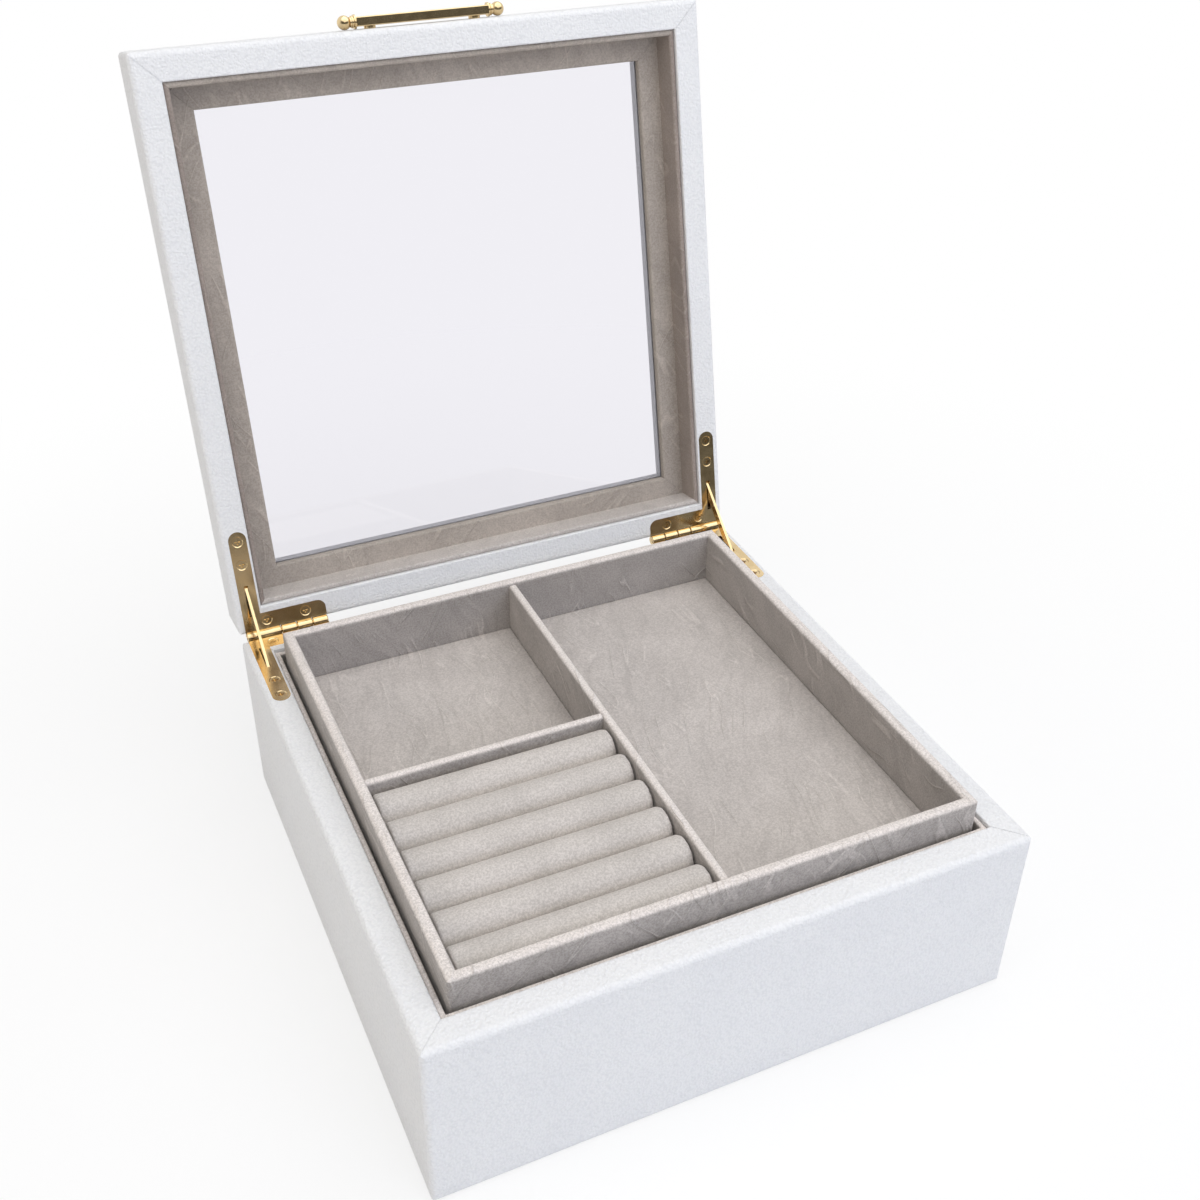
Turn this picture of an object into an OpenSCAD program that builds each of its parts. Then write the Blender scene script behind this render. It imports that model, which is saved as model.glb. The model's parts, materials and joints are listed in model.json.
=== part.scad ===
// Glass-topped ring display box: a leather-covered case with a lift-out tray,
// modelled standing open. Millimetres, +Z up, front towards -Y, origin at the
// centre of the underside. The lid parts are drawn closed and swung to rest.

/* [Case] */
// Width of the case over the leather
case_w = 250; // [220:5:320]
// Depth of the case over the leather
case_d = 250; // [220:5:320]
// Height of the base up to its rim
base_h = 82; // [74:1:110]
// Height of the lid
lid_h = 25; // [25:0.5:34]
// Width of the rims of base and lid
rim_w = 12; // [11.5:0.5:15]
// Gap left between the two rims when shut
rim_gap = 0.2; // [0.1:0.1:0.5]
// Thickness of the leather covering
skin = 0.8; // [0.5:0.1:1.1]
// Rounding of the case's outer edges
edge_r = 2.5; // [2:0.25:3.5]
// Depth that the leather turns down inside a rim
turn_in = 4; // [3:0.5:8]
// Width that the leather turns under the base
hem_w = 12; // [8:1:20]
// Rounding of the leather along the edges of the openings
rim_r = 0.7; // [0.5:0.1:1]
// Width of the mitre seams in the leather
seam_w = 0.3; // [0.2:0.05:0.5]
// Thickness of the bottom panel
panel_t = 3; // [2.5:0.5:6]

/* [Lining] */
// Thickness of the suede-covered lining boards
liner_t = 2.5; // [2:0.25:4]
// Drop from a rim to the top of its lining boards
liner_drop = 1.5; // [0.5:0.25:3]
// Thickness of the pad on the floor
pad_t = 1; // [0.5:0.25:3]
// Thickness of the two boards that carry the tray
ledge_t = 5.5; // [4:0.5:8]
// Distance from the ends of those two boards to the lining
ledge_inset = 20; // [5:1:40]

/* [Lid window] */
// Depth from the lid's rim to its suede frame
recess_h = 14.5; // [13:0.5:15]
// Width of the suede frame around the glass
mat_w = 10; // [6:1:20]
// Thickness of the suede frame
mat_t = 3.2; // [2:0.2:4]
// Thickness of the glass
glass_t = 2; // [1.5:0.5:3]
// Play around the edge of the glass
glass_gap = 0.5; // [0.3:0.1:1]
// Rounding of the suede frame's edge beside the glass
mat_r = 1.2; // [0.8:0.1:1.8]

/* [Tray] */
// Height of the tray
tray_h = 30; // [24:1:40]
// Thickness of the tray's walls
tray_wall = 5; // [4:0.5:7]
// Thickness of the tray's bottom board
tray_floor = 3; // [2:0.5:4]
// Play between the tray and the lining on each side
tray_gap = 1.5; // [1:0.25:3]
// Room between the tray and the suede frame with the lid shut
tray_headroom = 3.2; // [2:0.2:5]
// Thickness of the dividers
divider_t = 4; // [3:0.5:6]
// Drop from the tray's top to the top of the dividers
divider_drop = 1.5; // [0:0.25:4]
// Rounding of the tray's top edges and corners
tray_r = 1.9; // [1:0.1:1.9]
// Thickness of the compartment pads
tray_pad_t = 2; // [1:0.5:3]
// Drop from the tray's top to the crown of the ring rolls
roll_drop = 2.3; // [1:0.1:5]
// Gap between neighbouring ring rolls
roll_gap = 0.3; // [0.2:0.1:0.6]

/* [Hinges] */
// Angle the lid opens to
open_angle = 102; // [95:1:108]
// Distance from the back of the case to the hinge axis
axis_back = 1.5; // [1:0.25:2.5]
// Distance from the side of the case to a hinge leaf
leaf_inset = 3; // [2.5:0.25:3.5]
// Width of a leaf's long arm
leaf_w = 8; // [7:0.5:8.5]
// Reach of a leaf's long arm from the hinge axis
leaf_l = 51; // [46:1:60]
// Length of a leaf's short arm, along the barrel
short_l = 38; // [34:1:50]
// Reach of a leaf's short arm from the hinge axis
short_w = 10.5; // [9:0.25:11]
// Length of the wide knuckle at the outer end of the barrel
wide_knuckle = 16; // [12:0.5:20]
// Bevel at the ends of the knuckles
knuckle_bevel = 0.35; // [0.2:0.05:0.5]
// Thickness of the leaves
leaf_t = 1.6; // [1.2:0.1:2]
// Diameter of the hinge barrel
barrel_d = 5; // [4.5:0.25:6]
// Diameter of the hinge pin
pin_d = 2; // [1.6:0.1:2.6]
// Thickness of the stay link
stay_t = 1.2; // [1:0.1:1.5]
// Width of the stay link
stay_w = 4; // [3:0.25:4.5]
// Distance from the hinge axis to the middle of the stay link
stay_off = 12; // [11:0.25:12.5]
// Diameter of the cross pins that stop the stay link
stop_d = 2.4; // [2:0.1:2.6]
// Length of the cross pins
stop_l = 4.4; // [4:0.1:4.8]
// Running clearance of the moving hinge parts
run_gap = 0.3; // [0.2:0.05:0.4]
// Radial clearance of the pin in the lid's knuckles
pin_gap = 0.05; // [0.02:0.01:0.1]

/* [Screws] */
// Diameter of the hinge screws' heads
head_d = 4.4; // [4:0.1:5]
// Diameter of the hinge screws' shanks
shank_d = 2; // [1.6:0.1:2.4]
// Length of the hinge screws
screw_l = 9; // [7:0.5:12]
// Depth of the screws' heads below the face of the leaf
head_sink = 0.3; // [0.1:0.05:0.4]
// Depth of the cross recess in a head
recess_d = 0.8; // [0.5:0.1:1]
// Width of the cross recess in a head
recess_w = 0.6; // [0.4:0.1:0.8]
// Distance from the end of the long arm to its outer screw
end_screw = 4.8; // [4:0.2:7]
// Spacing of the two screws in the long arm
arm_pitch = 11; // [8:0.5:13]
// Distance from the end of the short arm to its outer screw
short_end_screw = 9.5; // [8:0.5:12]
// Spacing of the two screws in the short arm
short_pitch = 18; // [15:0.5:19]
// Distance from the edge of the short arm to its screws
short_edge_screw = 3.8; // [3.2:0.1:4.2]

/* [Handle] */
// Distance between the centres of the handle's balls
handle_l = 68; // [50:1:90]
// Diameter of the balls
ball_d = 5.8; // [5:0.2:8]
// Height of the bar between the balls
bar_h = 6; // [5:0.5:8]
// Thickness of the bar
bar_t = 3.8; // [3:0.2:5]
// Distance that the bar stands off the leather
bar_off = 1.2; // [0.8:0.1:3]
// Rounding of the bar's edges
bar_r = 0.4; // [0.2:0.1:0.8]
// Length of a turned collar beside a ball
collar_l = 2.5; // [2:0.25:4]
// Diameter of a collar's neck
neck_d = 4.2; // [3.8:0.1:4.6]
// Diameter of a collar's ring beside the bar
ring_d = 5.8; // [5:0.1:6.4]
// Diameter of a collar's narrow bead
bead_d = 5; // [4.6:0.1:5.4]
// Length by which a collar runs into its ball
collar_in = 0.6; // [0.4:0.1:1]
// Diameter of the posts between bar and lid
post_d = 5; // [4:0.1:5.5]
// Distance from the ends of the bar to its posts
post_inset = 6; // [4:0.5:12]
// Diameter of the handle's screws
bolt_d = 3; // [2.5:0.1:3.5]
// Depth of the screws in the bar beyond its posts
bolt_in = 1; // [0.5:0.1:1.5]

/* [Hidden] */
$fn = 48;
eps = 0.01;

// Sides of a mitred frame, counted from the front
FRONT = 0;
RIGHT = 1;
BACK = 2;
LEFT = 3;

LEATHER = "white";
BOARD = "burlywood";
SUEDE = [0.66, 0.62, 0.59];
GOLD = [0.83, 0.62, 0.28];
FELT = [0.35, 0.33, 0.32];
GLASS = [0.85, 0.9, 0.92, 0.35];

// Case
half_w = case_w / 2;
half_d = case_d / 2;
core_r = edge_r - skin;
rim_in_w = half_w - rim_w;
rim_in_d = half_d - rim_w;
lining_w = rim_in_w - liner_t;
lining_d = rim_in_d - liner_t;
liner_r = liner_t * 0.45;
panel_top = skin + panel_t;
floor_z = panel_top + pad_t;

// Lid, drawn closed
lid_z = base_h + rim_gap;
lid_top = lid_z + lid_h;
mat_z = lid_z + recess_h;
glass_z = mat_z + mat_t;
frame_z = glass_z + glass_t;
window_w = lining_w - mat_w;
window_d = lining_d - mat_w;
strip_gap = 0.1;

// Tray
tray_half_w = lining_w - tray_gap;
tray_half_d = lining_d - tray_gap;
tray_in_w = tray_half_w - tray_wall;
tray_in_d = tray_half_d - tray_wall;
tray_top = mat_z - tray_headroom;
tray_z = tray_top - tray_h;
tray_floor_z = tray_z + tray_floor;
divider_top = tray_top - divider_drop;
divider_r = divider_t * 0.45;
cell_w = tray_in_w - divider_t / 2;
cell_d = tray_in_d - divider_t / 2;
roll_count = 6;
roll_pitch = cell_d / roll_count;
roll_r = (roll_pitch - roll_gap) / 2;
roll_z = tray_top - roll_drop - roll_r;

// Hinges
axis_y = half_d + axis_back;
axis_z = base_h + rim_gap / 2;
leaf_x = half_w - leaf_inset;
stay_x = leaf_x - leaf_w / 2;
barrel_r = barrel_d / 2;
// Edges of the knuckles, counted from the outer end: one wide, three narrow
narrow_count = 3;
knuckle_l = (short_l - wide_knuckle) / narrow_count;
knuckle_edges = concat([0], [for (i = [0 : narrow_count]) wide_knuckle + i * knuckle_l]);
half_angle = open_angle / 2;
stop_clear = 0.1;
stay_end = 0.2;
// Where a cross pin sits along the stay: just under the leaf with the lid open
stop_at = stay_off * tan(half_angle)
    + (leaf_t + stop_d / 2 + stop_clear) / cos(half_angle);
stay_half = stop_at + stay_w / 2 + stay_end;
stay_reach = sqrt(stay_off * stay_off + stay_half * stay_half);
pocket_w = stop_l + 2 * run_gap;
slot_near = stay_off - stay_w / 2 - run_gap;
pocket_far = stay_reach + run_gap;
pocket_depth = stay_half + 2 * run_gap;
arm_screw_far = leaf_l - end_screw;
arm_screw_near = arm_screw_far - arm_pitch;
short_screw_y = short_w - short_edge_screw;
short_screw_far = short_l - short_end_screw;
short_screw_near = short_screw_far - short_pitch;
cone_h = (head_d - shank_d) / 2;

// Handle
handle_z = lid_z + lid_h / 2;
handle_y = half_d + bar_off + bar_t / 2;
bar_half = handle_l / 2 - ball_d / 2 - collar_l + collar_in;
bolt_x = bar_half - post_inset;
bolt_l = rim_w + bar_off + bolt_in;

// ---- Shared shapes -------------------------------------------------------

// A rectangle with round corners, centred
module rounded_rect(w, h, r) {
    square([w - 2 * r, h], center = true);
    square([w, h - 2 * r], center = true);
    for (sx = [-1, 1], sy = [-1, 1])
        translate([sx * (w / 2 - r), sy * (h / 2 - r)]) circle(r);
}

// A block with every outer edge rounded
module soft_block(hw, hd, z0, z1, r) {
    h = z1 - z0;
    translate([0, 0, (z0 + z1) / 2]) intersection() {
        linear_extrude(h, center = true) rounded_rect(2 * hw, 2 * hd, r);
        rotate([90, 0, 90]) linear_extrude(2 * hw, center = true)
            rounded_rect(2 * hd, h, r);
        rotate([90, 0, 0]) linear_extrude(2 * hd, center = true)
            rounded_rect(2 * hw, h, r);
    }
}

module block(hw, hd, z0, z1) {
    translate([-hw, -hd, z0]) cube([2 * hw, 2 * hd, z1 - z0]);
}

// Outline of one side of a mitred frame of width t
function side_outline(side, hw, hd, t) =
    side == FRONT ? [[-hw, -hd], [hw, -hd], [hw - t, t - hd], [t - hw, t - hd]] :
    side == RIGHT ? [[hw, -hd], [hw, hd], [hw - t, hd - t], [hw - t, t - hd]] :
    side == BACK ? [[hw, hd], [-hw, hd], [t - hw, hd - t], [hw - t, hd - t]] :
    [[-hw, hd], [-hw, -hd], [t - hw, t - hd], [t - hw, hd - t]];

module frame_side(side, hw, hd, t, z0, z1) {
    translate([0, 0, z0]) linear_extrude(z1 - z0)
        polygon(side_outline(side, hw, hd, t));
}

function is_along_x(side) = side == FRONT || side == BACK;

// Children drawn along X and in the middle go to one side of a frame
module on_side(side, hw, hd) {
    reach = is_along_x(side) ? hd : hw;
    rotate([0, 0, 90 * side]) translate([0, -reach, 0]) children();
}

// A board standing on edge along X with a round top edge, from z0 to z1
module round_top_board(length, t, z0, z1, r) {
    rotate([90, 0, 90]) linear_extrude(length, center = true) {
        translate([-t / 2, z0]) square([t, z1 - z0 - r]);
        translate([r - t / 2, z0]) square([t - 2 * r, z1 - z0]);
        for (s = [-1, 1]) translate([s * (t / 2 - r), z1 - r]) circle(r);
    }
}

// One side of a mitred frame whose boards have round top edges
module round_top_side(side, hw, hd, t, z0, z1, r) {
    length = 2 * (is_along_x(side) ? hw : hd);
    intersection() {
        frame_side(side, hw, hd, t, z0, z1);
        on_side(side, hw - t / 2, hd - t / 2) round_top_board(length, t, z0, z1, r);
    }
}

// What is cut off to round the top edge of a rectangular opening
module opening_round(hw, hd, z, r) {
    for (side = [FRONT, RIGHT, BACK, LEFT]) difference() {
        frame_side(side, hw + r, hd + r, r, z - r, z + r);
        on_side(side, hw + r, hd + r) translate([0, 0, z - r])
            rotate([0, 90, 0]) cylinder(h = case_w + case_d, r = r, center = true);
    }
}

// Four mitred strips that stop a hair short of each other at the corners
module strip_frame(hw, hd, t, z0, z1) {
    difference() {
        for (side = [FRONT, RIGHT, BACK, LEFT]) frame_side(side, hw, hd, t, z0, z1);
        for (sx = [-1, 1], sy = [-1, 1])
            mitre_cut(hw, hd, sx, sy, t, strip_gap, z0 - 1, z1 + 1);
    }
}

// A thin upright cut along one corner's mitre
module mitre_cut(hw, hd, sx, sy, t, w, z0, z1) {
    translate([sx * hw, sy * hd, z0])
        rotate([0, 0, atan2(-sy, -sx)])
        translate([-1, -w / 2, 0])
        cube([t * sqrt(2) + 2, w, z1 - z0]);
}

// Swings closed lid parts to the open rest position
module about_axis(angle) {
    translate([0, axis_y, axis_z]) rotate([-angle, 0, 0])
        translate([0, -axis_y, -axis_z]) children();
}

module lid_at_rest() {
    about_axis(open_angle) children();
}

// Turns base parts upside down about the parting plane, for the lid's copy
module over_parting() {
    translate([0, 0, 2 * axis_z]) mirror([0, 0, 1]) children();
}

module both_sides() {
    children();
    mirror([1, 0, 0]) children();
}

// ---- Hinge, drawn for the left side of the base --------------------------

// Plan outline of an L-shaped leaf, grown by g for its bed
module leaf_plan(g) {
    r = leaf_w / 2;
    translate([-leaf_x - g, axis_y - leaf_l + r]) square([leaf_w + 2 * g, leaf_l - r]);
    translate([-leaf_x + r, axis_y - leaf_l + r]) circle(r + g);
    translate([-leaf_x - g, axis_y - short_w - g]) square([short_l - r + g, short_w + g]);
    translate([-leaf_x - g, axis_y - short_w + r]) square([short_l + 2 * g, short_w - r]);
    translate([-leaf_x + short_l - r, axis_y - short_w + r]) circle(r + g);
}

module along_axis(x0, length, r) {
    translate([x0, axis_y, axis_z]) rotate([0, 90, 0]) cylinder(h = length, r = r);
}

// One countersunk screw that points down, with its leaf's face at the origin
module wood_screw() {
    tip_l = 2 * shank_d;
    translate([0, 0, -head_sink]) difference() {
        union() {
            translate([0, 0, -cone_h])
                cylinder(h = cone_h, d1 = shank_d, d2 = head_d);
            translate([0, 0, tip_l - screw_l])
                cylinder(h = screw_l - tip_l - cone_h / 2, d = shank_d);
            translate([0, 0, -screw_l])
                cylinder(h = tip_l, d1 = shank_d / 5, d2 = shank_d);
        }
        for (turn = [0, 90]) rotate([0, 0, turn])
            cube([head_d - 3 * recess_w, recess_w, 2 * recess_d], center = true);
    }
}

module at_leaf_screws() {
    for (reach = [arm_screw_far, arm_screw_near])
        translate([-stay_x, axis_y - reach, base_h]) children();
    for (reach = [short_screw_far, short_screw_near])
        translate([-leaf_x + reach, axis_y - short_screw_y, base_h]) children();
}

// The hole for a hinge screw: countersink and shank
module screw_hole() {
    translate([0, 0, -head_sink - cone_h])
        cylinder(h = cone_h + head_sink, d1 = shank_d, d2 = head_d + 2 * head_sink);
    translate([0, 0, -head_sink - screw_l]) cylinder(h = screw_l, d = shank_d);
}

// The outermost knuckle is the lid's, and they take turns from there
function is_base_knuckle(i) = i % 2 == 1;

// A knuckle with bevelled ends, half the running clearance short of its edges
module knuckle(i) {
    length = knuckle_edges[i + 1] - knuckle_edges[i] - run_gap;
    translate([-leaf_x + knuckle_edges[i] + run_gap / 2, axis_y, axis_z]) rotate([0, 90, 0])
        rotate_extrude() polygon([
            [0, 0], [barrel_r - knuckle_bevel, 0], [barrel_r, knuckle_bevel],
            [barrel_r, length - knuckle_bevel], [barrel_r - knuckle_bevel, length], [0, length],
        ]);
}

// The room that the other leaf leaves round a knuckle
module knuckle_room(i) {
    along_axis(-leaf_x + knuckle_edges[i] - run_gap / 2,
               knuckle_edges[i + 1] - knuckle_edges[i] + run_gap, barrel_r + run_gap);
}

// A leaf with its share of the knuckles; the lid's leaf is the mirror image
module leaf(for_base) {
    bore_r = pin_d / 2 + (for_base ? 0 : pin_gap);
    difference() {
        union() {
            translate([0, 0, base_h - leaf_t]) linear_extrude(leaf_t) leaf_plan(0);
            for (i = [0 : narrow_count]) if (is_base_knuckle(i) == for_base) knuckle(i);
        }
        for (i = [0 : narrow_count]) if (is_base_knuckle(i) != for_base) knuckle_room(i);
        along_axis(-leaf_x - 1, short_l + 2, bore_r);
        stay_slot();
        at_leaf_screws() screw_hole();
    }
}

// The long slot that the stay slides in
module stay_slot() {
    w = stay_t + 2 * run_gap;
    translate([-stay_x - w / 2, axis_y - pocket_far, base_h - leaf_t - 1])
        cube([w, pocket_far - slot_near, leaf_t + 2]);
}

// Everything that one hinge needs cut out of the wood and leather
module hinge_bed() {
    translate([0, 0, base_h - leaf_t]) linear_extrude(leaf_t + 1) leaf_plan(0);
    along_axis(-leaf_x - run_gap, short_l + 2 * run_gap, barrel_r + run_gap);
    translate([-stay_x - pocket_w / 2, axis_y - pocket_far, base_h - pocket_depth])
        cube([pocket_w, pocket_far - slot_near, pocket_depth]);
    at_leaf_screws() screw_hole();
}

module stay() color(GOLD)
    about_axis(half_angle) translate([-stay_x, axis_y - stay_off, axis_z]) {
        rotate([0, 90, 0]) linear_extrude(stay_t, center = true)
            rounded_rect(2 * stay_half, stay_w, stay_w / 2 - eps);
        for (end = [-1, 1]) translate([0, 0, end * stop_at]) rotate([0, 90, 0])
            cylinder(h = stop_l, d = stop_d, center = true);
    }

// ---- Base ----------------------------------------------------------------

module base_cover() color(LEATHER) difference() {
    union() {
        difference() {
            soft_block(half_w, half_d, 0, base_h, edge_r);
            soft_block(half_w - skin, half_d - skin, skin, base_h - skin, core_r);
        }
        block(rim_in_w + skin, rim_in_d + skin, base_h - turn_in, base_h - skin / 2);
    }
    block(rim_in_w, rim_in_d, base_h - turn_in - 1, base_h + 1);
    block(half_w - hem_w, half_d - hem_w, -1, skin + 1);
    opening_round(rim_in_w, rim_in_d, base_h, rim_r);
    both_sides() hinge_bed();
    seams(base_h);
}

// Mitre seams across a rim's corners
module seams(z) {
    for (sx = [-1, 1], sy = [-1, 1])
        mitre_cut(half_w, half_d, sx, sy, rim_w, seam_w, z - seam_w, z + 1);
}

module base_wall(side) color(BOARD) difference() {
    intersection() {
        soft_block(half_w - skin, half_d - skin, skin, base_h - skin, core_r);
        frame_side(side, half_w, half_d, rim_w, 0, base_h);
    }
    block(rim_in_w + skin, rim_in_d + skin, base_h - turn_in, base_h);
    both_sides() hinge_bed();
}

module bottom_panel() color(BOARD)
    block(rim_in_w, rim_in_d, skin, panel_top);

module underside_felt() color(FELT)
    block(half_w - hem_w, half_d - hem_w, 0, skin);

module floor_pad() color(SUEDE)
    block(lining_w, lining_d, panel_top, floor_z);

module liner(side) color(SUEDE)
    round_top_side(side, rim_in_w, rim_in_d, liner_t, panel_top, base_h - liner_drop,
                   liner_r);

module tray_ledge() color(SUEDE)
    translate([-lining_w, ledge_inset - lining_d, floor_z])
        cube([ledge_t, 2 * (lining_d - ledge_inset), tray_z - floor_z]);

module hinge_base() color(GOLD) leaf(true);

module hinge_pins() color(GOLD) both_sides()
    along_axis(-leaf_x, short_l, pin_d / 2);

module base_screws() color(GOLD) both_sides() at_leaf_screws() wood_screw();

// ---- Lid -----------------------------------------------------------------

module lid_cover() color(LEATHER) lid_at_rest() difference() {
    union() {
        difference() {
            soft_block(half_w, half_d, lid_z, lid_top, edge_r);
            soft_block(half_w - skin, half_d - skin, lid_z + skin, lid_top - skin, core_r);
        }
        block(rim_in_w + skin, rim_in_d + skin, lid_z + skin / 2, lid_z + turn_in);
        block(window_w + skin, window_d + skin, frame_z, lid_top - skin / 2);
    }
    block(rim_in_w, rim_in_d, lid_z - 1, lid_z + turn_in + 1);
    block(window_w, window_d, frame_z - 1, lid_top + 1);
    opening_round(window_w, window_d, lid_top, rim_r);
    over_parting() opening_round(rim_in_w, rim_in_d, base_h, rim_r);
    over_parting() both_sides() hinge_bed();
    over_parting() seams(base_h);
    handle_bolts();
}

module lid_rail(side) color(BOARD) lid_at_rest() difference() {
    intersection() {
        soft_block(half_w - skin, half_d - skin, lid_z + skin, lid_top - skin, core_r);
        frame_side(side, half_w, half_d, rim_w, lid_z, lid_top);
    }
    block(rim_in_w + skin, rim_in_d + skin, lid_z, lid_z + turn_in);
    over_parting() both_sides() hinge_bed();
    handle_bolts();
}

module lid_top_frame() color(BOARD) lid_at_rest()
    strip_frame(rim_in_w, rim_in_d, rim_in_w - window_w - skin, frame_z, lid_top - skin);

module glass_pane() color(GLASS) lid_at_rest()
    block(rim_in_w - glass_gap, rim_in_d - glass_gap, glass_z, frame_z);

module lid_mat() color(SUEDE) lid_at_rest() difference() {
    strip_frame(rim_in_w, rim_in_d, rim_in_w - window_w, mat_z, glass_z);
    over_parting() opening_round(window_w, window_d, 2 * axis_z - mat_z, mat_r);
}

module lid_liner(side) color(SUEDE) lid_at_rest() over_parting()
    round_top_side(side, rim_in_w, rim_in_d, liner_t, 2 * axis_z - mat_z,
                   base_h - liner_drop, liner_r);

module hinge_lid() color(GOLD) lid_at_rest() over_parting() leaf(false);

module lid_screws() color(GOLD) lid_at_rest() over_parting() both_sides()
    at_leaf_screws() wood_screw();

// ---- Handle --------------------------------------------------------------

// The handle's two screws, in from the inner face of the lid's front rail
module handle_bolts() {
    for (x = [-bolt_x, bolt_x]) translate([x, -rim_in_d, handle_z]) rotate([90, 0, 0]) {
        cylinder(h = bolt_d / 2, d1 = 2 * bolt_d, d2 = bolt_d);
        cylinder(h = bolt_l, d = bolt_d);
    }
}

module handle_bar() color(GOLD) lid_at_rest() difference() {
    union() {
        translate([0, -handle_y, handle_z]) rotate([90, 0, 90])
            linear_extrude(2 * bar_half, center = true) rounded_rect(bar_t, bar_h, bar_r);
        for (x = [-bolt_x, bolt_x]) translate([x, -half_d, handle_z])
            rotate([90, 0, 0]) cylinder(h = bar_off + bar_t / 2, d = post_d);
    }
    handle_bolts();
}

// A ball and its turned collar, as one profile about the handle's length
module finial() {
    collar_z = -ball_d / 2 - collar_l + collar_in;
    rotate([0, 90, 0]) rotate_extrude() {
        intersection() {
            circle(d = ball_d);
            translate([0, -ball_d]) square([ball_d, 2 * ball_d]);
        }
        translate([0, collar_z]) {
            square([neck_d / 2, collar_l]);
            square([ring_d / 2, collar_l * 0.3]);
            translate([0, collar_l * 0.5]) square([bead_d / 2, collar_l * 0.2]);
        }
    }
}

module handle_finials() color(GOLD) lid_at_rest() both_sides()
    translate([handle_l / 2, -handle_y, handle_z]) finial();

module handle_screws() color(GOLD) lid_at_rest() handle_bolts();

// ---- Tray ----------------------------------------------------------------

module tray_bottom() color(SUEDE)
    block(tray_in_w, tray_in_d, tray_z, tray_floor_z);

module tray_wall(side) color(SUEDE) intersection() {
    soft_block(tray_half_w, tray_half_d, tray_z, tray_top, tray_r);
    round_top_side(side, tray_half_w, tray_half_d, tray_wall, tray_z, tray_top, tray_r);
}

module long_divider() color(SUEDE) rotate([0, 0, 90])
    round_top_board(2 * tray_in_d, divider_t, tray_floor_z, divider_top, divider_r);

module cross_divider() color(SUEDE)
    translate([-(tray_in_w + divider_t / 2) / 2, 0, 0])
        round_top_board(cell_w, divider_t, tray_floor_z, divider_top, divider_r);

module pad_back_left() color(SUEDE)
    translate([-tray_in_w, divider_t / 2, tray_floor_z])
        cube([cell_w, cell_d, tray_pad_t]);

module pad_right() color(SUEDE)
    translate([divider_t / 2, -tray_in_d, tray_floor_z])
        cube([cell_w, 2 * tray_in_d, tray_pad_t]);

// Ring rolls, counted from the front: a foam block with a round crown
module ring_roll(i) color(SUEDE)
    translate([-(tray_in_w + divider_t / 2) / 2, roll_pitch * (i - 0.5) - tray_in_d, 0])
    rotate([90, 0, 90]) linear_extrude(cell_w - 2 * roll_gap, center = true) {
        translate([-roll_r, tray_floor_z]) square([2 * roll_r, roll_z - tray_floor_z]);
        translate([0, roll_z]) circle(roll_r);
    }

// ---- Assembly ------------------------------------------------------------

base_cover();
base_wall(FRONT);  // base_wall_front
base_wall(RIGHT);  // base_wall_right
base_wall(BACK);  // base_wall_back
base_wall(LEFT);  // base_wall_left
bottom_panel();
underside_felt();
floor_pad();
liner(FRONT);  // liner_front
liner(RIGHT);  // liner_right
liner(BACK);  // liner_back
liner(LEFT);  // liner_left
tray_ledge();  // tray_ledge_left
mirror([1, 0, 0]) tray_ledge();  // tray_ledge_right
hinge_base();  // hinge_base_left
mirror([1, 0, 0]) hinge_base();  // hinge_base_right
hinge_pins();
base_screws();

lid_cover();
lid_rail(FRONT);  // lid_rail_front
lid_rail(RIGHT);  // lid_rail_right
lid_rail(BACK);  // lid_rail_back
lid_rail(LEFT);  // lid_rail_left
lid_top_frame();
glass_pane();
lid_mat();
lid_liner(FRONT);  // lid_liner_front
lid_liner(RIGHT);  // lid_liner_right
lid_liner(BACK);  // lid_liner_back
lid_liner(LEFT);  // lid_liner_left
hinge_lid();  // hinge_lid_left
mirror([1, 0, 0]) hinge_lid();  // hinge_lid_right
lid_screws();
handle_bar();
handle_finials();
handle_screws();

stay();  // stay_left
mirror([1, 0, 0]) stay();  // stay_right

tray_bottom();
tray_wall(FRONT);  // tray_wall_front
tray_wall(RIGHT);  // tray_wall_right
tray_wall(BACK);  // tray_wall_back
tray_wall(LEFT);  // tray_wall_left
long_divider();
cross_divider();
pad_back_left();
pad_right();
for (i = [1 : roll_count])
    ring_roll(i);
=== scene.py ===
"""Looks of the ring display box: materials, padded pieces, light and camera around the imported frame.

Lengths are metres, in the frame of the CAD part: +Z up, the front of the box towards -Y.
"""

import json
import math
import random

import bmesh
import bpy
import numpy as np
from mathutils import Matrix, Vector


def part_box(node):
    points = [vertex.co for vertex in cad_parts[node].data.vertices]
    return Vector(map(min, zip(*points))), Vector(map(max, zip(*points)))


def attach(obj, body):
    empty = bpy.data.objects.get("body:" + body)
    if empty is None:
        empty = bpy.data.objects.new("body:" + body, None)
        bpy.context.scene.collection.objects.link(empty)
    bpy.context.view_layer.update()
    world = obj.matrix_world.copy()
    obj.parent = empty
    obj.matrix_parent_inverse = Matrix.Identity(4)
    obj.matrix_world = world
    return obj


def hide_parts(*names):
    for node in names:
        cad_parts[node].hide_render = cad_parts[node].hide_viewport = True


MM = 0.001

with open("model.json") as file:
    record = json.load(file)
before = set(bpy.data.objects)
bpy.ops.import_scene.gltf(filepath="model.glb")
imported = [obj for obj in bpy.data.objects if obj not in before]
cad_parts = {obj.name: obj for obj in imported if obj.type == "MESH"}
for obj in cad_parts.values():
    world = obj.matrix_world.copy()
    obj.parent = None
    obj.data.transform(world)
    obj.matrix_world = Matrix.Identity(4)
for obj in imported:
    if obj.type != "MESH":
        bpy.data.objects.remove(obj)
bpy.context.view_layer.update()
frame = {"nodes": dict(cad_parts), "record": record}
NODES = frame["nodes"]
SLOTS = {part["node"]: part["material_slot"] for part in frame["record"]["subparts"]}


# ---- Node graphs ---------------------------------------------------------


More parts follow.
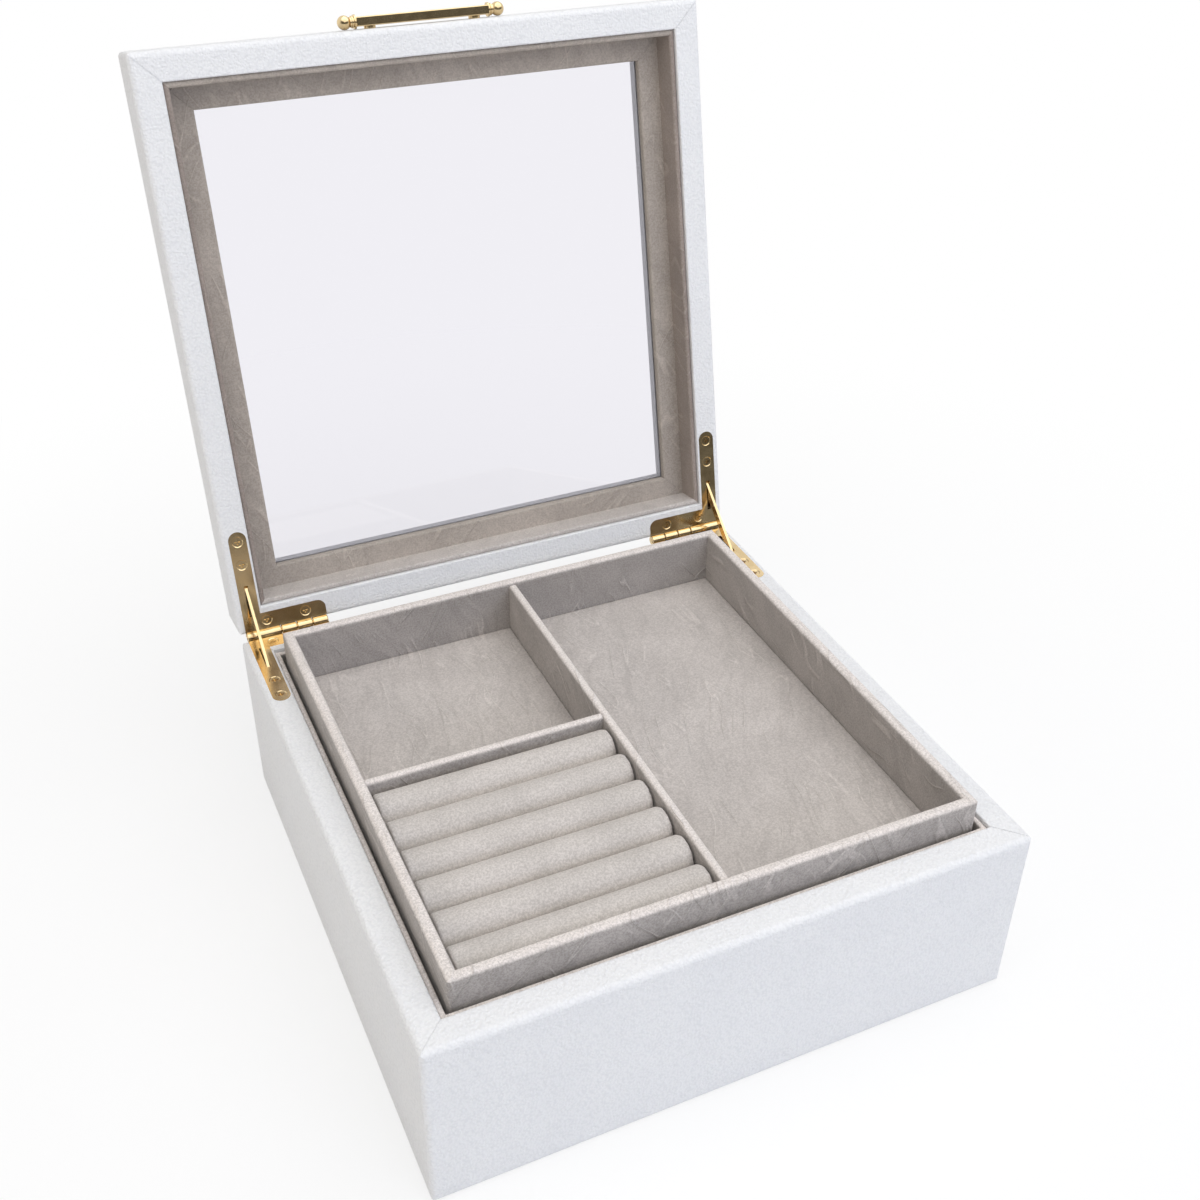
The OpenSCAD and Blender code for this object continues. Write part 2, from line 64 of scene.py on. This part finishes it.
class Graph:
    """A material or world whose nodes are added one call at a time."""

    def __init__(self, owner):
        owner.use_nodes = True
        self.tree = owner.node_tree
        self.coords = None

    def get(self, kind):
        """The first node of that kind."""
        return next(n for n in self.tree.nodes if n.bl_idname == kind)

    def add(self, kind, inputs=None, **settings):
        """A new node. Each input, by name or number, is a value or another node's socket."""
        node = self.tree.nodes.new(kind)
        for name, value in settings.items():
            setattr(node, name, value)
        for name, value in (inputs or {}).items():
            if isinstance(value, bpy.types.NodeSocket):
                self.tree.links.new(value, node.inputs[name])
            else:
                node.inputs[name].default_value = value
        return node

    def place(self):
        """Object coordinates, in metres."""
        if self.coords is None:
            self.coords = self.add("ShaderNodeTexCoord").outputs["Object"]
        return self.coords

    def math(self, operation, *values):
        inputs = dict(enumerate(values))
        return self.add("ShaderNodeMath", inputs, operation=operation).outputs[0]

    def vector(self, operation, *values):
        inputs = dict(enumerate(values))
        return self.add("ShaderNodeVectorMath", inputs, operation=operation).outputs[0]

    def noise(self, size, where=None, detail=2.0, roughness=0.5, output="Fac"):
        """Noise whose features are about size metres across."""
        inputs = {
            "Vector": self.place() if where is None else where,
            "Scale": 1 / size,
            "Detail": detail,
            "Roughness": roughness,
        }
        return self.add("ShaderNodeTexNoise", inputs).outputs[output]

    def cells(self, size, where, smoothness):
        """Distances in a pattern of smoothly joined cells about size metres across."""
        inputs = {"Vector": where, "Scale": 1 / size, "Smoothness": smoothness}
        return self.add("ShaderNodeTexVoronoi", inputs, feature="SMOOTH_F1").outputs["Distance"]

    def warped(self, size, amount, where=None):
        """The place, shifted by a noise of that size by about that amount."""
        where = self.place() if where is None else where
        shift = self.vector("SUBTRACT", self.noise(size, where, output="Color"), (0.5, 0.5, 0.5))
        scaled = self.add("ShaderNodeVectorMath", {0: shift, "Scale": 2 * amount}, operation="SCALE")
        return self.vector("ADD", where, scaled.outputs[0])

    def drawn_out(self, rotation, stretch):
        """The place, gently bent and turned, and stretched so that patterns run in long strokes."""
        bent = self.warped(80 * MM, 20 * MM)
        turned = self.add("ShaderNodeMapping", {"Vector": bent, "Rotation": rotation}).outputs[0]
        return self.vector("MULTIPLY", turned, (1.0, stretch, stretch))

    def creases(self, rotation, seed):
        """Fine long crease lines in patches, and the broader rucks that they sit on."""
        threads = self.noise(8 * MM, self.drawn_out(rotation, 0.12), detail=1.0)
        offset = self.math("ABSOLUTE", self.math("SUBTRACT", threads, 0.5))
        shifted = self.vector("ADD", self.place(), (0.31 * seed, 0.17 * seed, 0.0))
        patches = self.ramp(self.noise(26 * MM, shifted, detail=1.0), 0.5, 0.58)
        line = self.math("MULTIPLY", self.ramp(offset, 0.0, 0.02, 1.0, 0.0), patches)
        ruck = self.math("MULTIPLY", self.ramp(offset, 0.0, 0.09, 1.0, 0.0), patches)
        return line, ruck

    def ramp(self, value, low, high, to_low=0.0, to_high=1.0):
        """A smooth step from to_low to to_high as value goes from low to high."""
        inputs = {
            "Value": value,
            "From Min": low,
            "From Max": high,
            "To Min": to_low,
            "To Max": to_high,
        }
        node = self.add("ShaderNodeMapRange", inputs, interpolation_type="SMOOTHSTEP")
        return node.outputs[0]

    def mix(self, factor, a, b, blend="MIX"):
        node = self.add("ShaderNodeMix", {0: factor, 6: a, 7: b}, data_type="RGBA", blend_type=blend)
        return node.outputs[2]

    def bump(self, height, distance, strength=1.0, under=None):
        inputs = {"Height": height, "Distance": distance, "Strength": strength}
        if under is not None:
            inputs["Normal"] = under
        return self.add("ShaderNodeBump", inputs).outputs[0]


def principled(name, **values):
    """A new material, its graph and its shader, with plain values on the shader's sockets."""
    material = bpy.data.materials.new(name)
    graph = Graph(material)
    shader = graph.get("ShaderNodeBsdfPrincipled")
    for socket, value in values.items():
        shader.inputs[socket.replace("_", " ")].default_value = value
    return material, graph, shader


def colour(red, green, blue):
    return (red, green, blue, 1.0)


def scaled(share, tint):
    """The red, green and blue of tint as a colour, share times as bright."""
    return colour(*(share * c for c in tint))


# ---- Materials -----------------------------------------------------------


def leatherette():
    """White leatherette with a soft pebble grain."""
    material, g, shader = principled("leatherette", Roughness=0.55, Specular_IOR_Level=0.25)
    pebbles = g.cells(1.0 * MM, g.warped(3 * MM, 0.5 * MM), 0.6)
    pores = g.noise(0.4 * MM, detail=3.0)
    swell = g.noise(5 * MM, detail=2.0)
    waves = g.noise(26 * MM, detail=2.0)
    tone = g.mix(g.ramp(waves, 0.3, 0.7), colour(0.81, 0.813, 0.824), colour(0.826, 0.828, 0.834))
    # Painted shade along the lines between the pebbles
    tone = g.mix(g.ramp(pebbles, 0.35, 0.8, 0.0, 0.6), tone, colour(0.73, 0.735, 0.75))
    relief = g.bump(swell, 0.12 * MM, 0.5)
    grain = g.bump(pebbles, 0.31 * MM, 1.0, relief)
    g.tree.links.new(tone, shader.inputs["Base Color"])
    g.tree.links.new(g.bump(pores, 0.02 * MM, 0.3, grain), shader.inputs["Normal"])
    g.tree.links.new(g.ramp(waves, 0.3, 0.7, 0.5, 0.6), shader.inputs["Roughness"])
    return material


def suede(name, light, dark, brushed, creased, speckle, painted_top_light=0.0):
    """Brushed suede: short nap, patches and strokes where it lies another way, and fine creases.

    brushed, creased and speckle are the strengths of the strokes, of the creases with their painted
    highlight and shade, and of the nap's dark flecks. The last argument paints light on surfaces
    that face up, making them lighter as if lit from above.
    """
    material, g, shader = principled(
        name,
        Roughness=0.95,
        Specular_IOR_Level=0.1,
        Sheen_Weight=0.3,
        Sheen_Roughness=0.5,
    )
    shader.inputs["Sheen Tint"].default_value = colour(0.94, 0.90, 0.86)
    nap = g.noise(0.8 * MM, detail=4.0, roughness=0.75)
    flecks = g.noise(1.6 * MM, detail=2.0, roughness=0.6)
    patches = g.noise(28 * MM, g.warped(60 * MM, 20 * MM), detail=5.0, roughness=0.6)

    strokes = g.noise(4.5 * MM, g.drawn_out((0.5, 0.35, 0.55), 0.16), detail=4.0, roughness=0.6)
    line, ruck = g.creases((0.4, 0.3, 0.35), 0)
    line_b, ruck_b = g.creases((0.7, -0.4, -0.5), 1)
    line = g.math("MAXIMUM", line, line_b)
    ruck = g.math("MAXIMUM", ruck, ruck_b)

    tone = g.mix(g.ramp(patches, 0.36, 0.64), colour(*dark), colour(*light))
    shaded = scaled(0.74, dark)
    tone = g.mix(g.ramp(strokes, 0.46, 0.72, 0.0, 0.4 * brushed), tone, shaded)
    # Painted shade beside each crease line, and a painted highlight along the line itself
    crease_painted_shade = g.math("SUBTRACT", ruck, line)
    tone = g.mix(g.math("MULTIPLY", crease_painted_shade, 0.3 * creased), tone, shaded)
    tone = g.mix(g.math("MULTIPLY", line, 0.5 * creased), tone, scaled(1.35, light))
    # Painted light: surfaces that face up are made lighter, as if lit from above
    facing = g.add("ShaderNodeTexCoord").outputs["Normal"]
    upward = g.add("ShaderNodeSeparateXYZ", {0: facing}).outputs["Z"]
    painted_top_mask = g.ramp(upward, 0.3, 0.9, 0.0, painted_top_light)
    tone = g.mix(painted_top_mask, tone, scaled(1.88, light))
    soft_flecks = g.ramp(flecks, 0.35, 0.65, 0.14, 0.0)
    tone = g.mix(soft_flecks, tone, colour(0.7, 0.7, 0.7), "MULTIPLY")
    sharp_flecks = g.ramp(nap, 0.38, 0.62, speckle, 0.0)
    tone = g.mix(sharp_flecks, tone, colour(0.62, 0.61, 0.6), "MULTIPLY")

    creases = g.bump(g.math("ADD", line, ruck), 0.25 * MM * creased, 0.8)
    stroked = g.bump(strokes, 0.15 * MM, 0.3 * brushed, creases)
    g.tree.links.new(tone, shader.inputs["Base Color"])
    g.tree.links.new(g.bump(nap, 0.1 * MM, 0.7, stroked), shader.inputs["Normal"])
    return material


def gold():
    """Polished gold-coloured brass with hairline polishing marks."""
    material, g, shader = principled("gold", Metallic=1.0, Roughness=0.16)
    marks = g.noise(0.25 * MM, g.vector("MULTIPLY", g.place(), (1.0, 0.08, 1.0)), detail=2.0)
    clouds = g.noise(7 * MM, detail=2.0)
    tone = g.mix(g.ramp(clouds, 0.3, 0.7), colour(0.70, 0.53, 0.29), colour(0.78, 0.61, 0.36))
    g.tree.links.new(tone, shader.inputs["Base Color"])
    g.tree.links.new(g.ramp(clouds, 0.3, 0.7, 0.13, 0.2), shader.inputs["Roughness"])
    g.tree.links.new(g.bump(marks, 0.002 * MM, 0.15), shader.inputs["Normal"])
    return material


def glass():
    """Clear float glass with a faint tint and the slight waves of a rolled sheet."""
    material, g, shader = principled("glass", Roughness=0.0, IOR=1.45, Transmission_Weight=1.0)
    shader.inputs["Base Color"].default_value = colour(0.90, 0.89, 0.935)
    waves = g.noise(60 * MM, detail=0.0)
    g.tree.links.new(g.bump(waves, 0.02 * MM, 0.05), shader.inputs["Normal"])
    return material


def felt():
    """Matt grey felt of matted fibres."""
    material, g, shader = principled("felt", Roughness=1.0, Specular_IOR_Level=0.1, Sheen_Weight=0.2)
    fibres = g.noise(0.6 * MM, g.warped(2 * MM, 1.2 * MM), detail=4.0, roughness=0.75)
    clouds = g.noise(18 * MM, detail=2.0)
    tone = g.mix(g.ramp(fibres, 0.3, 0.7), colour(0.085, 0.08, 0.078), colour(0.15, 0.14, 0.135))
    tone = g.mix(g.ramp(clouds, 0.35, 0.65, 0.0, 0.3), tone, colour(0.12, 0.112, 0.108))
    g.tree.links.new(tone, shader.inputs["Base Color"])
    g.tree.links.new(g.bump(fibres, 0.25 * MM, 0.7), shader.inputs["Normal"])
    return material


def board():
    """Raw fibreboard under the covering: pressed fibres in warm brown."""
    material, g, shader = principled("board", Roughness=0.85, Specular_IOR_Level=0.2)
    fibres = g.noise(0.8 * MM, g.vector("MULTIPLY", g.place(), (0.3, 0.3, 1.6)), detail=4.0)
    tone = g.mix(g.ramp(fibres, 0.3, 0.7), colour(0.33, 0.21, 0.11), colour(0.47, 0.32, 0.18))
    g.tree.links.new(tone, shader.inputs["Base Color"])
    g.tree.links.new(g.bump(fibres, 0.1 * MM, 0.4), shader.inputs["Normal"])
    return material


# The slot suede; its faces that look up get painted light from above
WALL_SUEDE = suede(
    "suede",
    light=(0.487, 0.452, 0.430),
    dark=(0.430, 0.400, 0.379),
    brushed=1.0,
    creased=1.1,
    speckle=0.66,
    painted_top_light=0.85,
)
ROLL_SUEDE = suede(
    "ring_foam",
    light=(0.665, 0.622, 0.587),
    dark=(0.605, 0.566, 0.532),
    brushed=0.25,
    creased=0.15,
    speckle=0.55,
)
# A lighter copy of the suede, painted light for the pads and the lid's back liner, which face up
SUEDE_PAINTED_LIGHTER = suede(
    "suede_painted_lighter",
    light=(0.635, 0.588, 0.556),
    dark=(0.580, 0.536, 0.506),
    brushed=0.9,
    creased=0.6,
    speckle=0.5,
)
LID_SUEDE = suede(
    "lid_suede",
    light=(0.520, 0.462, 0.410),
    dark=(0.455, 0.403, 0.357),
    brushed=0.8,
    creased=0.65,
    speckle=0.5,
)
# A darker copy of the suede: painted shade on the lid's side liners
SUEDE_PAINTED_SHADE = suede(
    "suede_painted_shade",
    light=(0.385, 0.325, 0.290),
    dark=(0.335, 0.283, 0.252),
    brushed=0.8,
    creased=0.65,
    speckle=0.5,
)

# Nodes of the slot suede that wear a copy of it: lighter or darker ones are painted light and
# shade, the lid's mat and front liner a warmer one
SUEDE_COPY_BY_NODE = {
    "lid_mat": LID_SUEDE,
    "lid_liner_front": LID_SUEDE,
    "lid_liner_right": SUEDE_PAINTED_SHADE,
    "lid_liner_back": SUEDE_PAINTED_LIGHTER,
    "lid_liner_left": SUEDE_PAINTED_SHADE,
}

# What each of the record's material slots is dressed in
MATERIALS = {
    "leatherette": leatherette(),
    "suede": WALL_SUEDE,
    "ring_foam": ROLL_SUEDE,
    "felt": felt(),
    "gold": gold(),
    "glass": glass(),
    "board": board(),
}


def dress(piece, slot_name, material=None):
    """Gives a piece the material of the record's slot of that name, unless another is given."""
    piece.data.materials.clear()
    piece.data.materials.append(material or MATERIALS[slot_name])


def dress_nodes():
    """Gives each CAD node its slot's material, or a suede copy with painted light or shade, or a
    warmer one.
    """
    for name, node in NODES.items():
        for slot in node.material_slots:
            slot.material = SUEDE_COPY_BY_NODE.get(name, MATERIALS[SLOTS[name]])


# ---- Meshes --------------------------------------------------------------


def new_piece(name, points, faces, smooth=True):
    """A new object in the scene, with that mesh."""
    mesh = bpy.data.meshes.new(name)
    mesh.from_pydata([tuple(p) for p in points], [], faces)
    mesh.update()
    if smooth:
        mesh.shade_smooth()
    piece = bpy.data.objects.new(name, mesh)
    bpy.context.scene.collection.objects.link(piece)
    return piece


def edge_steps(low, high, radius, step):
    """Places from low to high: three short steps over each rounded edge, even ones between."""
    near = [0.0, 0.25 * radius, 0.6 * radius, radius]
    inner = max(2, round((high - low - 2 * radius) / step))
    middle = np.linspace(low + radius, high - radius, inner + 1)[1:-1]
    return np.array([*(low + d for d in near), *middle, *(high - d for d in reversed(near))])


class Creases:
    """Soft folds that wander over a flat sheet, each a ridge with a shallow valley beside it."""

    def __init__(self, low, high, count, seed):
        height = 0.22 * MM
        rng = random.Random(seed)
        self.folds = []
        for _ in range(count):
            self.folds.append(
                {
                    "at": (rng.uniform(low.x, high.x), rng.uniform(low.y, high.y)),
                    "turn": rng.gauss(math.radians(70), math.radians(28)),
                    "reach": rng.uniform(12, 42) * MM,
                    "bend": rng.uniform(-6, 6),
                    "width": rng.uniform(0.9, 1.9) * MM,
                    "height": height * rng.uniform(0.35, 1.0),
                }
            )

    def at(self, x, y):
        """Height of the folds above the sheet at each place."""
        total = np.zeros_like(x)
        for fold in self.folds:
            c, s = math.cos(fold["turn"]), math.sin(fold["turn"])
            dx, dy = x - fold["at"][0], y - fold["at"][1]
            along = dx * c + dy * s
            across = dy * c - dx * s - fold["bend"] * along**2
            fade = np.clip(1 - (along / fold["reach"]) ** 2, 0, 1) ** 2
            ridge = np.exp(-((across / fold["width"]) ** 2))
            valley = np.exp(-(((across - 1.6 * fold["width"]) / fold["width"]) ** 2))
            total += fold["height"] * fade * (ridge - 0.6 * valley)
        return total


def soft_board(name, low, high, radius, crown, step, creases=None):
    """A thin board wrapped in fabric: flat below, rounded and slightly crowned above, creased.

    Creases fade out over calm_width inside the rounded edge, and rise at most ridge above the board.
    """
    calm_width = 4 * MM
    ridge = 0.3 * MM
    xs = edge_steps(low.x, high.x, radius, step)
    ys = edge_steps(low.y, high.y, radius, step)
    x, y = np.meshgrid(xs, ys)
    inset = np.minimum(np.minimum(x - low.x, high.x - x), np.minimum(y - low.y, high.y - y))
    drop = radius - np.sqrt(np.clip(radius**2 - np.clip(radius - inset, 0, None) ** 2, 0, None))
    u = (x - low.x) / (high.x - low.x)
    v = (y - low.y) / (high.y - low.y)
    swell = crown * (16 * u * (1 - u) * v * (1 - v)) ** 0.5
    top = high.z - crown - drop + swell
    if creases:
        top += np.clip((inset - radius) / calm_width, 0, 1) * creases.at(x, y)
    top = np.minimum(top, high.z + ridge)

    rows, columns = x.shape
    upper = np.stack([x, y, top], axis=-1).reshape(-1, 3)
    lower = np.stack([x, y, np.full_like(x, low.z)], axis=-1).reshape(-1, 3)
    count = rows * columns
    faces = []
    for r in range(rows - 1):
        for c in range(columns - 1):
            a = r * columns + c
            b, d = a + 1, a + columns
            faces.append((a, b, d + 1, d))
            faces.append((count + a, count + d, count + d + 1, count + b))
    border = (
        [c for c in range(columns)]
        + [r * columns + columns - 1 for r in range(1, rows)]
        + [(rows - 1) * columns + c for c in range(columns - 2, -1, -1)]
        + [r * columns for r in range(rows - 2, 0, -1)]
    )
    for a, b in zip(border, border[1:] + border[:1]):
        faces.append((a, count + a, count + b, b))
    return new_piece(name, np.concatenate([upper, lower]), faces)


def roll_mesh(name, low, high, slack):
    """A foam bar with a round crown and rounded ends, slack smaller all round than its space."""
    crown_steps = 16
    side_steps = 8
    end_steps = 5
    length_steps = 29
    half = (high.y - low.y) / 2 - slack
    middle = (low.y + high.y) / 2
    crown_z = high.z - slack - half
    bottom = low.z + slack
    end_r = 1.0 * MM
    arc = [math.pi * i / crown_steps for i in range(crown_steps + 1)]
    profile = [(middle + half * math.cos(a), crown_z + half * math.sin(a)) for a in arc]
    rise = np.linspace(crown_z, bottom, side_steps)[1:]
    front = [(middle - half, z) for z in rise]
    back = [(middle + half, z) for z in reversed(rise)]
    outline = back + profile + front
    centre = Vector((middle, (bottom + crown_z) / 2))
    xs, pulls = [], []
    for i in range(end_steps + 1):
        a = math.pi / 2 * i / end_steps
        xs.append(low.x + slack + end_r * (1 - math.sin(a)))
        pulls.append(end_r * (1 - math.cos(a)))
    xs, pulls = xs[::-1], pulls[::-1]
    inner = np.linspace(xs[-1], low.x + high.x - xs[-1], length_steps + 1)[1:-1]
    stations = list(zip(xs, pulls)) + [(x, 0.0) for x in inner]
    stations += [(low.x + high.x - x, pull) for x, pull in reversed(list(zip(xs, pulls)))]

    mesh = bmesh.new()
    rings = []
    for x, pull in stations:
        ring = []
        for y, z in outline:
            away = Vector((y, z)) - centre
            shrink = max(0.0, 1 - pull / away.length)
            py, pz = centre + away * shrink
            ring.append(mesh.verts.new((x, py, max(pz, bottom))))
        rings.append(ring)
    for first, second in zip(rings, rings[1:]):
        for i in range(len(outline)):
            j = (i + 1) % len(outline)
            mesh.faces.new((first[i], second[i], second[j], first[j]))
    mesh.faces.new(rings[0])
    mesh.faces.new(list(reversed(rings[-1])))
    bmesh.ops.recalc_face_normals(mesh, faces=mesh.faces)
    data = bpy.data.meshes.new(name)
    mesh.to_mesh(data)
    mesh.free()
    piece = bpy.data.objects.new(name, data)
    bpy.context.scene.collection.objects.link(piece)
    return piece


def evaluated(piece):
    """The piece's mesh after its modifiers, as a new mesh."""
    graph = bpy.context.evaluated_depsgraph_get()
    return bpy.data.meshes.new_from_object(piece.evaluated_get(graph))


def remesh(piece, voxel):
    """Rebuilds the piece's surface from voxels of that size."""
    modifier = piece.modifiers.new("voxels", "REMESH")
    modifier.mode = "VOXEL"
    modifier.voxel_size = voxel
    data = evaluated(piece)
    piece.modifiers.clear()
    piece.data = data


def inflate(piece, pressure, cap, pinned_below, seed):
    """Swells a closed fabric piece by cloth simulation; no point moves further than cap.

    The cloth is simulated at ten times its size, where the solver's stiffnesses suit it. It starts
    slightly uneven, so that it doesn't swell like a machined shape.
    """
    size_up = 10.0
    frames = 20
    spread = 0.03 * MM
    centre = sum((v.co for v in piece.data.vertices), Vector()) / len(piece.data.vertices)
    start = np.array([v.co for v in piece.data.vertices])
    rng = np.random.default_rng(seed)
    uneven = rng.normal(0, spread, start.shape)
    enlarge = Matrix.Translation(centre) @ Matrix.Scale(size_up, 4) @ Matrix.Translation(-centre)
    piece.data.transform(enlarge)
    pins = piece.vertex_groups.new(name="pins")
    low = start[:, 2] < pinned_below
    pins.add([int(i) for i in np.flatnonzero(low)], 1.0, "ADD")
    for vertex, shift in zip(piece.data.vertices, uneven * size_up):
        vertex.co += Vector(shift)
    cloth = piece.modifiers.new("cloth", "CLOTH")
    cloth.settings.quality = 5
    cloth.settings.use_pressure = True
    cloth.settings.uniform_pressure_force = pressure
    cloth.settings.effector_weights.gravity = 0
    cloth.settings.vertex_group_mass = "pins"
    cloth.point_cache.frame_start = 1
    cloth.point_cache.frame_end = frames
    for number in range(1, frames + 1):
        bpy.context.scene.frame_set(number)
    data = evaluated(piece)
    end = np.array([v.co for v in data.vertices])
    middle = np.array(centre)
    end = middle + (end - middle) / size_up
    move = end - start
    length = np.linalg.norm(move, axis=1, keepdims=True)
    move *= np.minimum(1.0, cap / np.maximum(length, 1e-9))
    bpy.context.scene.frame_set(1)
    piece.modifiers.clear()
    piece.vertex_groups.clear()
    piece.data = data
    for vertex, point in zip(piece.data.vertices, start + move):
        vertex.co = point


# ---- Pieces --------------------------------------------------------------


def ring_rolls():
    """The six suede-covered foam bars that grip the rings."""
    slack = 0.25 * MM
    voxel = 1.3 * MM
    pressure = 4.0
    pinned = 2 * MM
    proud = 0.1 * MM
    for number in range(1, 7):
        node = f"ring_roll_{number}"
        low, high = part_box(node)
        piece = roll_mesh(f"foam_roll_{number}", low, high, slack)
        remesh(piece, voxel)
        inflate(piece, pressure, slack + proud, low.z + pinned, seed=number)
        piece.data.shade_smooth()
        piece.modifiers.new("smooth", "SUBSURF").levels = 1
        dress(piece, "ring_foam")
        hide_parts(node)
        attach(piece, "tray")


def flat_pads():
    """The thin suede-covered pads of the tray's compartments and of the floor."""
    pads = (
        ("pad_back_left", "tray", "soft_pad_back_left", 14, 11),
        ("pad_right", "tray", "soft_pad_right", 30, 12),
        ("floor_pad", "base", "soft_floor_pad", 46, 13),
    )
    for node, body, name, count, seed in pads:
        low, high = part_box(node)
        creases = Creases(low, high, count, seed)
        piece = soft_board(name, low, high, 0.8 * MM, crown=0.12 * MM, step=1.5 * MM, creases=creases)
        # Painted light: the pads wear the lighter copy of the suede
        dress(piece, "suede", SUEDE_PAINTED_LIGHTER)
        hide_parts(node)
        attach(piece, body)


def felt_sheet():
    """The glued felt under the case, turned over so that its soft edge faces down."""
    low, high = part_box("underside_felt")
    piece = soft_board("felt_underside", low, high, 0.5 * MM, crown=0.0, step=9 * MM)
    middle = (low + high) / 2
    upside_down = Matrix.Scale(-1, 4, (0, 0, 1))
    piece.data.transform(Matrix.Translation(middle) @ upside_down @ Matrix.Translation(-middle))
    piece.data.flip_normals()
    dress(piece, "felt")
    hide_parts("underside_felt")
    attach(piece, "base")


# ---- Stage, light and camera ---------------------------------------------

# Photograph frame: 1200 by 1200 pixels, focal length in its pixels
IMAGE_SIZE = 1200
FOCAL_PIXELS = 1441.7
SENSOR_MM = 36.0
CAMERA_AT = Vector((-0.20039, -0.42229, 0.4733))
CAMERA_YAW = math.radians(-25.03)
CAMERA_PITCH = math.radians(-34.72)
CAMERA_ROLL = math.radians(0.68)


def camera():
    """The camera at the photograph's place, with its pitch, yaw and roll."""
    data = bpy.data.cameras.new("camera")
    data.sensor_fit = "HORIZONTAL"
    data.sensor_width = SENSOR_MM
    data.lens = FOCAL_PIXELS * SENSOR_MM / IMAGE_SIZE
    data.clip_start = 0.01
    view = bpy.data.objects.new("camera", data)
    bpy.context.scene.collection.objects.link(view)
    level = math.cos(CAMERA_PITCH)
    forward = Vector(
        (-math.sin(CAMERA_YAW) * level, math.cos(CAMERA_YAW) * level, math.sin(CAMERA_PITCH))
    )
    right = Vector((math.cos(CAMERA_YAW), math.sin(CAMERA_YAW), 0.0))
    up = right.cross(forward)
    c, s = math.cos(CAMERA_ROLL), math.sin(CAMERA_ROLL)
    across = right * c + up * s
    above = up * c - right * s
    view.matrix_world = Matrix(
        (
            (across.x, above.x, -forward.x, CAMERA_AT.x),
            (across.y, above.y, -forward.y, CAMERA_AT.y),
            (across.z, above.z, -forward.z, CAMERA_AT.z),
            (0.0, 0.0, 0.0, 1.0),
        )
    )
    bpy.context.scene.camera = view


def seen_and_mirrored(g):
    """1 for what the eye sees, straight or through glass, and 1 for what it sees in metal or glass.

    Both are 0 for rays that have left a matt surface, as these only light it.
    """
    path = g.add("ShaderNodeLightPath").outputs
    sight = g.math("LESS_THAN", path["Diffuse Depth"], 0.5)
    through = g.math("MULTIPLY", path["Is Transmission Ray"], sight)
    seen = g.math("MAXIMUM", path["Is Camera Ray"], through)
    return seen, g.math("MULTIPLY", path["Is Glossy Ray"], sight)


# Brightness of what metal and glass mirror on the camera's side, where white is 1
MIRRORED_FRONT = 0.12
# Brightness of the world where it only lights things
AMBIENT = 0.4


def floor():
    """A pale floor that shades into the white background, and keeps the shadow near the case."""
    half = 3.0
    below = 0.05 * MM
    near, far = 0.15, 0.6
    corners = [(-half, -half, 0.0), (half, -half, 0.0), (half, half, 0.0), (-half, half, 0.0)]
    ground = new_piece("floor", corners, [(0, 1, 2, 3)], smooth=False)
    ground.location.z = -below
    material, g, shader = principled("floor", Roughness=0.9, Specular_IOR_Level=0.0)
    shader.inputs["Base Color"].default_value = colour(0.9, 0.9, 0.9)
    distance = g.add("ShaderNodeVectorMath", {0: g.place()}, operation="LENGTH").outputs["Value"]
    share = g.ramp(distance, near, far, 0.7, 1.0)
    seen, mirrored = seen_and_mirrored(g)
    depth = g.add("ShaderNodeSeparateXYZ", {0: g.place()}).outputs["Y"]
    strength = g.math("MAXIMUM", seen, g.ramp(depth, -0.4, 0.1, MIRRORED_FRONT, 1.0))
    white = g.add("ShaderNodeEmission", {"Color": colour(1, 1, 1), "Strength": strength}).outputs[0]
    factor = g.math("MULTIPLY", share, g.math("MAXIMUM", seen, mirrored))
    mixed = g.add("ShaderNodeMixShader", {0: factor, 1: shader.outputs[0], 2: white}).outputs[0]
    g.tree.links.new(mixed, g.get("ShaderNodeOutputMaterial").inputs["Surface"])
    ground.data.materials.append(material)


def area_light(name, at, towards, size, power, tint, mirrored=False):
    """A rectangular lamp; unless mirrored, metal and glass don't show its face."""
    data = bpy.data.lights.new(name, "AREA")
    data.shape = "RECTANGLE"
    data.size, data.size_y = size
    data.energy = power
    data.color = tint
    lamp = bpy.data.objects.new(name, data)
    bpy.context.scene.collection.objects.link(lamp)
    lamp.location = at
    lamp.rotation_euler = (Vector(towards) - Vector(at)).to_track_quat("-Z", "Y").to_euler()
    lamp.visible_glossy = mirrored
    lamp.visible_transmission = mirrored


def lights():
    """A large soft lamp above, weak cool and warm ones in front and at the left, and the world."""
    area_light("key", (0.25, -0.3, 1.35), (0, 0, 0.08), (2.4, 2.0), 20.4, (1, 1, 1), mirrored=True)
    area_light("front", (0.5, -1.6, 0.7), (0, 0, 0.1), (1.0, 0.6), 4.9, (0.61, 0.71, 1.0))
    area_light("side", (-1.3, -0.2, 0.6), (0, 0, 0.1), (0.8, 0.6), 2.5, (1.0, 0.88, 0.74))

    # White all round to the eye and through glass; in reflections, dim on the camera's side
    world = bpy.data.worlds.new("world")
    bpy.context.scene.world = world
    g = Graph(world)
    background = g.get("ShaderNodeBackground")
    background.inputs["Color"].default_value = colour(1, 1, 1)
    seen, mirrored = seen_and_mirrored(g)
    towards = g.add("ShaderNodeTexCoord").outputs["Generated"]
    depth = g.add("ShaderNodeSeparateXYZ", {0: towards}).outputs["Y"]
    reflected = g.math("MULTIPLY", mirrored, g.ramp(depth, -0.75, 0.15, MIRRORED_FRONT, 1.0))
    ambient = g.math("MULTIPLY", g.math("SUBTRACT", 1.0, mirrored), AMBIENT)
    strength = g.math("MAXIMUM", seen, g.math("MAXIMUM", reflected, ambient))
    g.tree.links.new(strength, background.inputs["Strength"])


bpy.context.scene.view_settings.view_transform = "Standard"
camera()
lights()
floor()
dress_nodes()
ring_rolls()
flat_pads()
felt_sheet()
